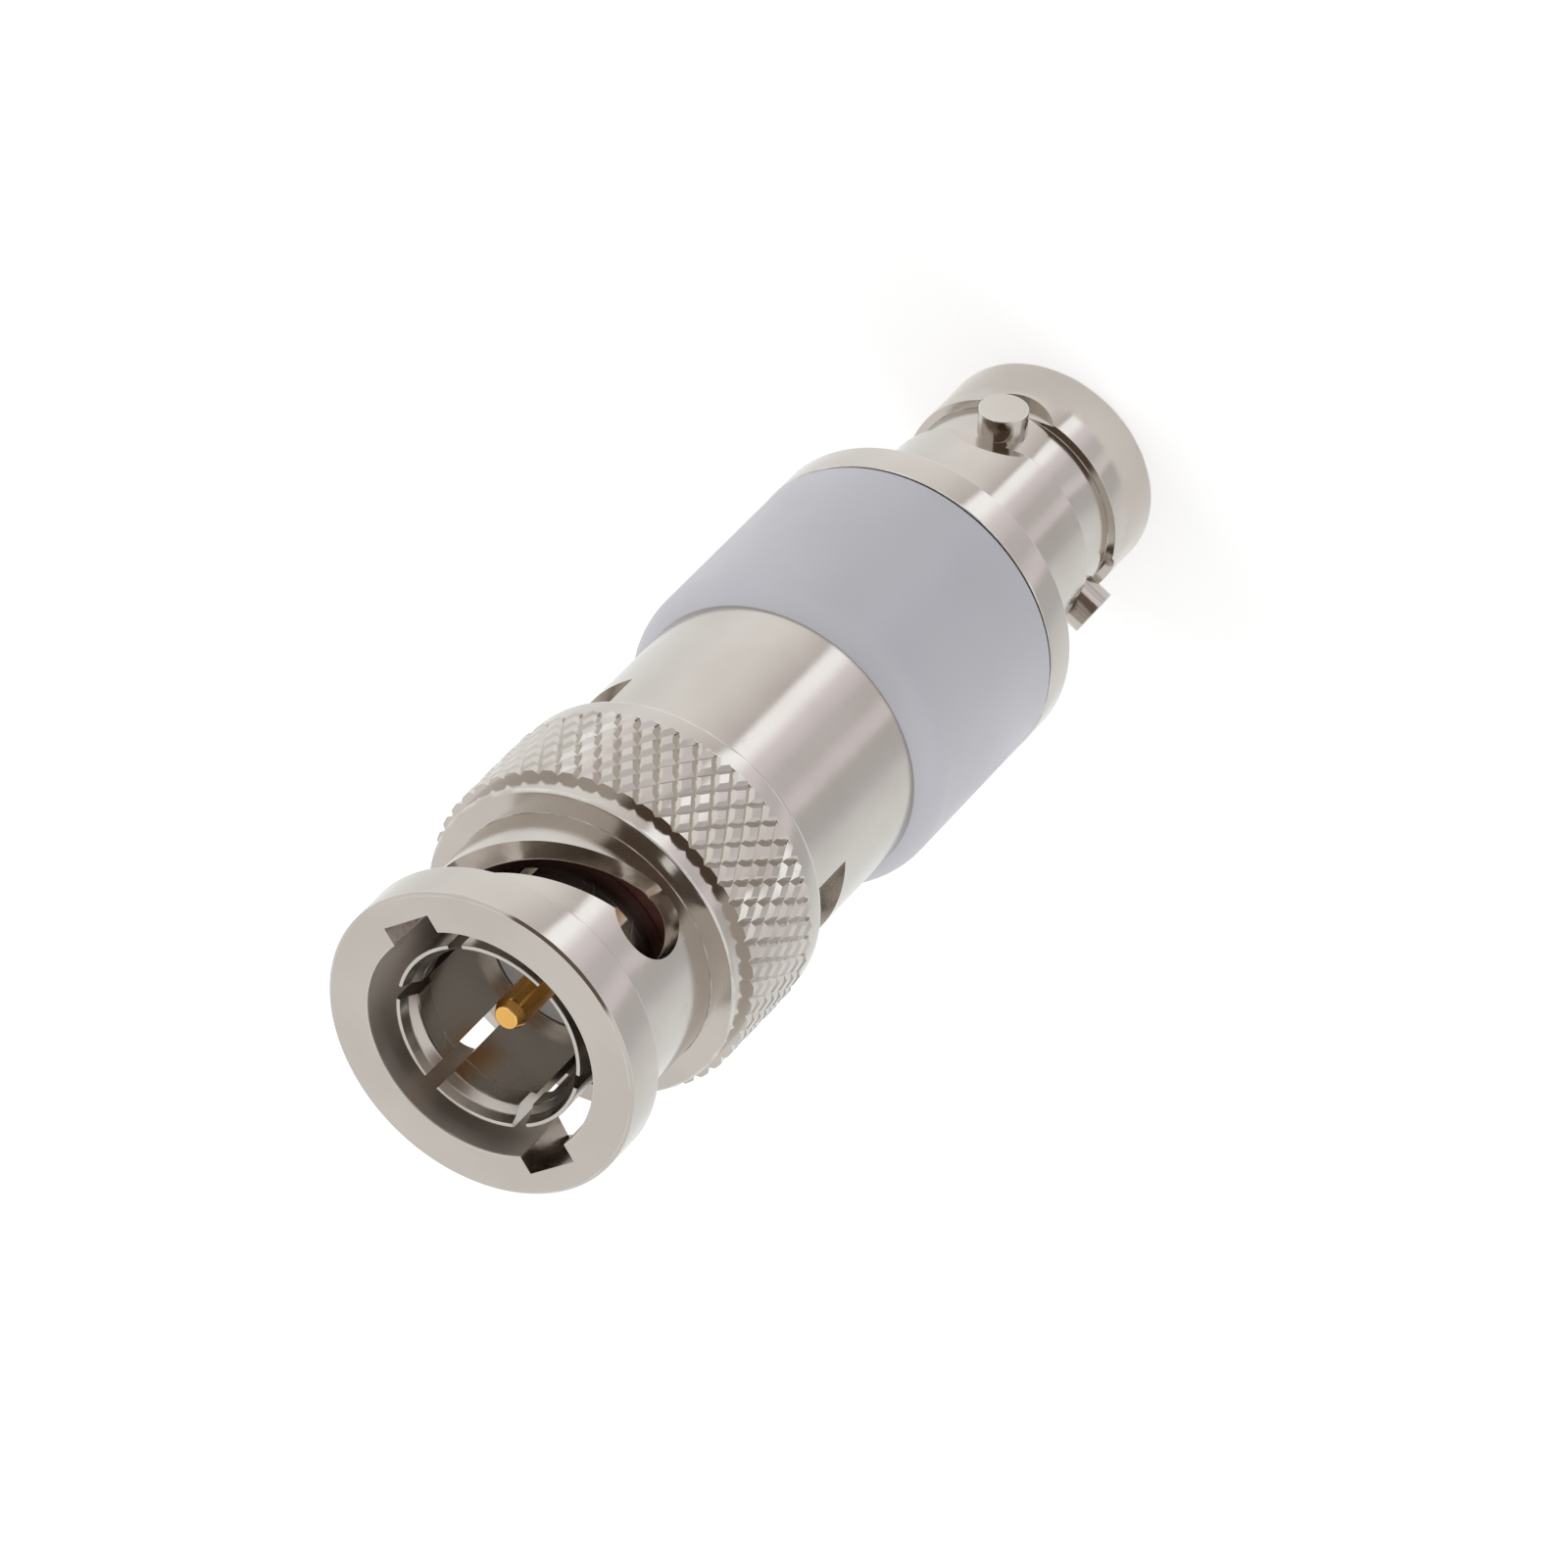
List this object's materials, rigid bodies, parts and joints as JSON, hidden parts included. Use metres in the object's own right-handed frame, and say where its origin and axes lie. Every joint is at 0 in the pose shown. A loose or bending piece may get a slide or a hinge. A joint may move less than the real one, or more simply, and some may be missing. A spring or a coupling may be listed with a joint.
{
  "type": "bnc to triaxial adapter",
  "caption": "Turned coaxial adapter with a bayonet coupling nut and knurl at one end and a lugged triaxial jack at the other.",
  "frame": {"origin": "centre of the end face of the jack's rim, which the adapter stands on", "axes": "+Z along the axis from the jack to the bayonet plug; one jack lug lies 31.5 degrees from -Y"},
  "size_m": [0.0142, 0.0142, 0.0452],
  "materials": {
    "nickel_plate": "nickel plated, polished",
    "gold_plate": "gold plated",
    "white_insulator": "matte",
    "grey_sleeve": "satin",
    "gasket_rubber": "matte",
    "spring_metal": "satin"
  },
  "bodies": {
    "adapter": {"jack_shell": "nickel_plate", "lock_ring": "nickel_plate", "guard_contact": "nickel_plate", "barrel": "nickel_plate", "plug_body": "nickel_plate", "outer_contact": "nickel_plate", "jack_outer_insulator": "white_insulator", "jack_inner_insulator": "white_insulator", "barrel_insulator": "white_insulator", "insulator_bushing": "white_insulator", "plug_insulator": "white_insulator", "socket_contact": "gold_plate", "contact_link": "gold_plate", "centre_pin": "gold_plate", "insulating_sleeve": "grey_sleeve", "front_gasket": "gasket_rubber", "wave_washer": "spring_metal"},
    "thrust_stack": {"thrust_washer": "spring_metal"},
    "nut": {"coupling_nut": "nickel_plate", "retaining_ring": "spring_metal"}
  },
  "joints": [
    {"name": "nut_slide", "type": "slide", "parent": "adapter", "child": "thrust_stack", "axis": [0, 0, 1], "range_m": [0, 0.0008], "stiffness_N_per_m": 2000, "springref_m": -0.002, "deforming": ["wave_washer"]},
    {"name": "nut_turn", "type": "hinge", "parent": "thrust_stack", "child": "nut", "pos_m": [0, 0, 0.0382], "axis": [0, 0, 1], "continuous": true}
  ]
}
